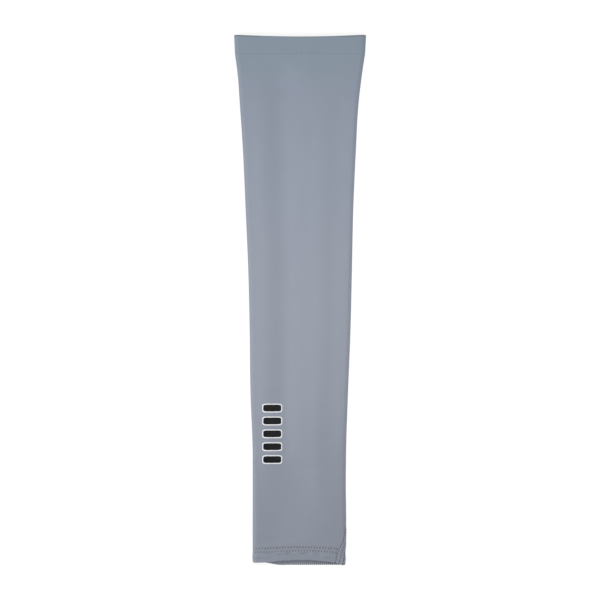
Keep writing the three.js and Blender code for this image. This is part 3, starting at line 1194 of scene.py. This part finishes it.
hem_thread = thread_finish("hem thread", *HEM_DYES)
tack_thread = thread_finish("tack thread", *TACK_DYES)
seam_thread = thread_finish("seam thread", *SEAM_THREAD_TONES)
print("threads:", [thread.name for thread in (hem_thread, tack_thread, seam_thread)])

# %% [markdown]
# ## The hem's stitching
# The hem is held by a cover stitch, which is two rows of needle stitches outside and a
# thread that loops from row to row inside, so that the hem can stretch with the knit.

# %% Needle rows and the looping thread
HEM_STITCH = {"Length": 1.3 * MM, "Thread radius": 0.18 * MM}
LOOP_SLACK = 0.3 * MM
LOOP_INSET = 0.5 * MM
LOOP_DEPTH = DOUBLE_PLY + 0.16 * MM

threads_on_hem = []
for k, (line, pitch) in enumerate(zip(hem_lines, hem_pitches)):
    values = {**HEM_STITCH, "Pitch": pitch, "Seed": 11 + k, "Thread": hem_thread}
    threads_on_hem.append(grow(f"hem_stitches_{k + 1}", line, stitch_row, values))

loop_row = sum(STITCH_ROWS) / 2
loop_swing = np.diff(STITCH_ROWS)[0] + LOOP_SLACK
loop_ends = panel_girths(loop_row)[[0, -1]] + np.array([LOOP_INSET, -LOOP_INSET])
loop_girths = np.arange(*loop_ends, STITCH_PITCH / 4)
loop_distances = loop_row + swing(len(loop_girths)) * loop_swing
loop_depths = np.full(len(loop_girths), LOOP_DEPTH)
loop_line = cloth_line("loop line", loop_distances, loop_girths, loop_depths)
threads_on_hem.append(grow("hem_loop_thread", loop_line, cover_thread, {"Thread": hem_thread}))

# %% [markdown]
# ## A few tacks on the band
# The ends of the band are tacked down with a short row of long dark stitches by its lower
# edge. It could be drawn in the band's finish, but the tree that lays the hem's stitches
# can lay these too, along a short line on the front.

# %% Tacks on the band
TACK_ROW = band_start + 1.6 * MM
TACK_ENDS = (-3.0 * MM, 16.0 * MM)
TACK_POINTS = 60
TACK_DEPTH = 0.06 * MM
TACK = {"Pitch": 3.6 * MM, "Length": 2.2 * MM, "Thread radius": 0.17 * MM, "Seed": 31}

tack_girths = front_girth(TACK_ROW, np.linspace(TACK_ENDS[1], TACK_ENDS[0], TACK_POINTS))
tack_rows, tack_depths = (np.full(TACK_POINTS, value) for value in (TACK_ROW, TACK_DEPTH))
tack_line = cloth_line("tack line", tack_rows, tack_girths, tack_depths)
band_tacks = grow("band_tacks", tack_line, stitch_row, {**TACK, "Thread": tack_thread})

# %% [markdown]
# ## The seam's stitching
# Three rows of needle stitches hold the strip, and one cover thread swings across them. It
# is what makes a flat seam look like a fine ladder. The cover thread's line swings from
# side to side on the cloth itself, so that it bends round the fold with the strip. A soft
# line of painted shadow on each side of the strip marks the joint where the panel's edge meets it.

# %% Threads of the seam
NEEDLE_GAP = 2.8 * MM
SEAM_PITCH = 2.1 * MM
COVER_SWING = 6.0 * MM
COVER_LIFT = 0.08 * MM
NEEDLE_SINK = 0.1 * MM
SEAM_STITCH = {"Length": 1.25 * MM, "Thread radius": 0.33 * MM}
COVER_RADIUS = 0.15 * MM
seam_distances = np.arange(1.0 * MM, band_start - 0.5 * MM, SEAM_PITCH / 4)


def seam_line(name, offsets, depth):
    girths = np.array([seam_middle(d) for d in seam_distances]) + offsets
    depths = []
    for d, girth in zip(seam_distances, girths):
        drawn = hem_relief(d, np.array([girth]))[0] * SEAM_DRAW
        depths.append(seam_sink(d) + depth + drawn)
    return cloth_line(name, seam_distances, girths, depths)


threads_on_seam = []
for k, side in enumerate((1, 0, -1)):
    line = seam_line("seam line", side * NEEDLE_GAP, NEEDLE_SINK)
    values = {**SEAM_STITCH, "Pitch": even_pitch(line, SEAM_PITCH)}
    values |= {"Seed": 21 + k, "Thread": seam_thread}
    threads_on_seam.append(grow(f"seam_stitches_{k + 1}", line, stitch_row, values))
cover_line = seam_line("cover line", swing(len(seam_distances)) * COVER_SWING, -COVER_LIFT)
cover_values = {"Thread": hem_thread, "Thread radius": COVER_RADIUS}
threads_on_seam.append(grow("seam_cover_thread", cover_line, cover_thread, cover_values))

# %% The strip's finish
STRIP_TONE = 1.06
JOINT_INSET = 0.2 * MM
JOINT_BLUR = 0.35 * MM
JOINT_SHADE = 0.18
JOINT_SHADOW_DARKNESS = 0.15


def strip_finish():
    finish, tree, shader, place = start_finish("strip knit")
    knit = dyed_knit(tree, place, darker(BODY_YARN, STRIP_TONE), DEEP_GROOVE_SHADE_SHARE)
    side = maths(tree, "ABSOLUTE", part_of(tree, place, 0))
    # Painted shadow along the joint on each side of the strip.
    joint = bell(tree, side, SEAM_WIDTH / 2 - JOINT_INSET, JOINT_BLUR)
    shade = product(tree, joint, JOINT_SHADE)
    color = mixed(tree, shade, knit["Color"], darker(BODY_YARN, JOINT_SHADOW_DARKNESS))
    set_fabric(tree, shader, color, knit["Roughness"], knit["Height"])
    return finish


def own_places(piece):
    """Turns the strip's U from the girth into the way from the seam's middle."""
    layer = piece.data.uv_layers["cloth"].uv
    places = np.empty(len(layer) * 2)
    layer.foreach_get("vector", places)
    places = places.reshape(-1, 2)
    places[:, 0] -= [seam_middle(v) for v in places[:, 1]]
    layer.foreach_set("vector", places.ravel())


own_places(strip)
strip.data.materials.append(strip_finish())
print("strip finished with", len(strip.data.materials[0].node_tree.nodes), "nodes")

# %% [markdown]
# ## A plain mark on the forearm
# Sportswear often has a mark of thin film pressed on with heat. Here it is a ladder of five
# plain bars: black film on a slightly larger white one, which shows as a fine border. Each
# bar is a small sheet that takes its shape from the same law as the cloth under it, so it
# lies on the cloth without a gap. Its corners follow a superellipse.

# %% Bars of film
BAR_COUNT = 5
BAR_WIDTH = 14.2 * MM
BAR_DEPTH = 5.4 * MM
BAR_STEP = 10.2 * MM
BARS_X = -22.1 * MM
BARS_Y = -105.9 * MM
BORDER = 0.8 * MM
FILM = 0.06 * MM
FILM_HOLD = 0.02 * MM
CORNER_POWER = 6
BAR_ROWS = 20
BAR_COLUMNS = 18


def film_bar(name, y, width, depth, lift):
    """One bar of film, centred across the marks' place, lift above the cloth."""
    middle = y - cad_low.y
    shares = np.sin(np.linspace(-0.97, 0.97, BAR_ROWS) * np.pi / 2)
    halves = width / 2 * (1 - np.abs(shares) ** CORNER_POWER) ** (1 / CORNER_POWER)
    half_at = {round(middle + s * depth / 2, 7): h for s, h in zip(shares, halves)}

    def girths(distance):
        half = half_at[round(distance, 7)]
        xs = np.linspace(BARS_X + half, BARS_X - half, BAR_COLUMNS)
        return front_girth(distance, xs)

    top = [(round(d, 7), -lift - FILM) for d in half_at]
    under = [(d, FILM_HOLD - lift) for d, _ in top]
    return make_sheet(name, top, under, girths, [d for d, _ in top])


def mark():
    """The white and the black film, each joined into one piece."""
    made = []
    for name, extra, lift in (("mark_border", BORDER, 0.0), ("mark_bars", 0.0, FILM)):
        bars = []
        for k in range(BAR_COUNT):
            y = BARS_Y + (k - (BAR_COUNT - 1) / 2) * BAR_STEP
            width, depth = BAR_WIDTH + 2 * extra, BAR_DEPTH + 2 * extra
            bars.append(film_bar(f"{name}_{k}", y, width, depth, lift))
        with bpy.context.temp_override(
            active_object=bars[0], object=bars[0], selected_editable_objects=bars
        ):
            bpy.ops.object.join()
        bars[0].name = name
        made.append(bars[0])
    return made


mark_border, mark_bars = mark()
print("mark:", len(mark_border.data.polygons), "and", len(mark_bars.data.polygons), "faces")

# %% Film finishes
FILM_RELIEF = {"Loop height": 0.012 * MM, "Streaks": 0.1}
FILM_GLOSS = 0.12
WHITE_INK = (0.9, 0.91, 0.93, 1)
BLACK_INK = (0.006, 0.0065, 0.008, 1)


def film_finish(name, ink):
    """Pressed film: smooth and a little glossy, with the knit showing through as a faint relief."""
    finish, tree, shader, place = start_finish(name)
    knit = dyed_knit(tree, place, ink, DEEP_GROOVE_SHADE_SHARE, FILM_RELIEF)
    rough = linear(tree, knit["Roughness"], 0.6, -0.02)
    set_fabric(tree, shader, knit["Color"], rough, knit["Height"], 0.0)
    set_inputs(shader, {"Specular IOR Level": FILM_GLOSS})
    return finish


mark_border.data.materials.append(film_finish("white film", WHITE_INK))
mark_bars.data.materials.append(film_finish("black film", BLACK_INK))
print("film finishes made")

# %% [markdown]
# ## How the pieces belong together
# Each piece of cloth stands for one of the plain solids, which it hides, and all of them
# ride on the one body. The size each was cut to is worked out: the panel as a tapered
# strip, and the hem and the band unfolded.


def flat_size(distances, girths_at):
    """The longest girth, the length, and the area of a piece laid flat."""
    widths = [np.ptp(girths_at(d)) for d in distances]
    return max(widths), np.ptp(distances), float(np.trapz(widths, distances))


panel_distances = np.linspace(HEM_DEPTH, band_start, 80)
panel_width, panel_length, panel_area = flat_size(panel_distances, panel_girths)
hem_width = flat_size(np.linspace(0, HEM_DEPTH, 9), panel_girths)[0]
band_width = flat_size(np.linspace(band_start, sleeve_length, 9), ring_girths)[0]
print(f"panel cut to {panel_width / MM:.0f} by {panel_length / MM:.0f} mm")
print(f"hem cut to {hem_width / MM:.0f} by {2 * HEM_DEPTH / MM:.0f} mm")

stands_for = {
    panel: ("sleeve_body", "body_knit"),
    hem: ("wrist_hem", "hem_knit"),
    band: ("upper_band", "band_knit"),
    strip: ("flatlock_seam", "seam_thread"),
}
for piece, (solid, slot) in stands_for.items():
    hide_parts(solid)
    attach(piece, "root")
for piece in threads_on_hem + threads_on_seam + [band_tacks]:
    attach(piece, "root")
for piece in (mark_border, mark_bars):
    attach(piece, "root")

# %% Measure and finish
visual_low, visual_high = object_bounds()
for axis, name in enumerate(("width", "length", "height")):
    cad = cad_high[axis] - cad_low[axis]
    visual = visual_high[axis] - visual_low[axis]
    print(f"{name}: solids {cad / MM:.2f} mm, cloth {visual / MM:.2f} mm")
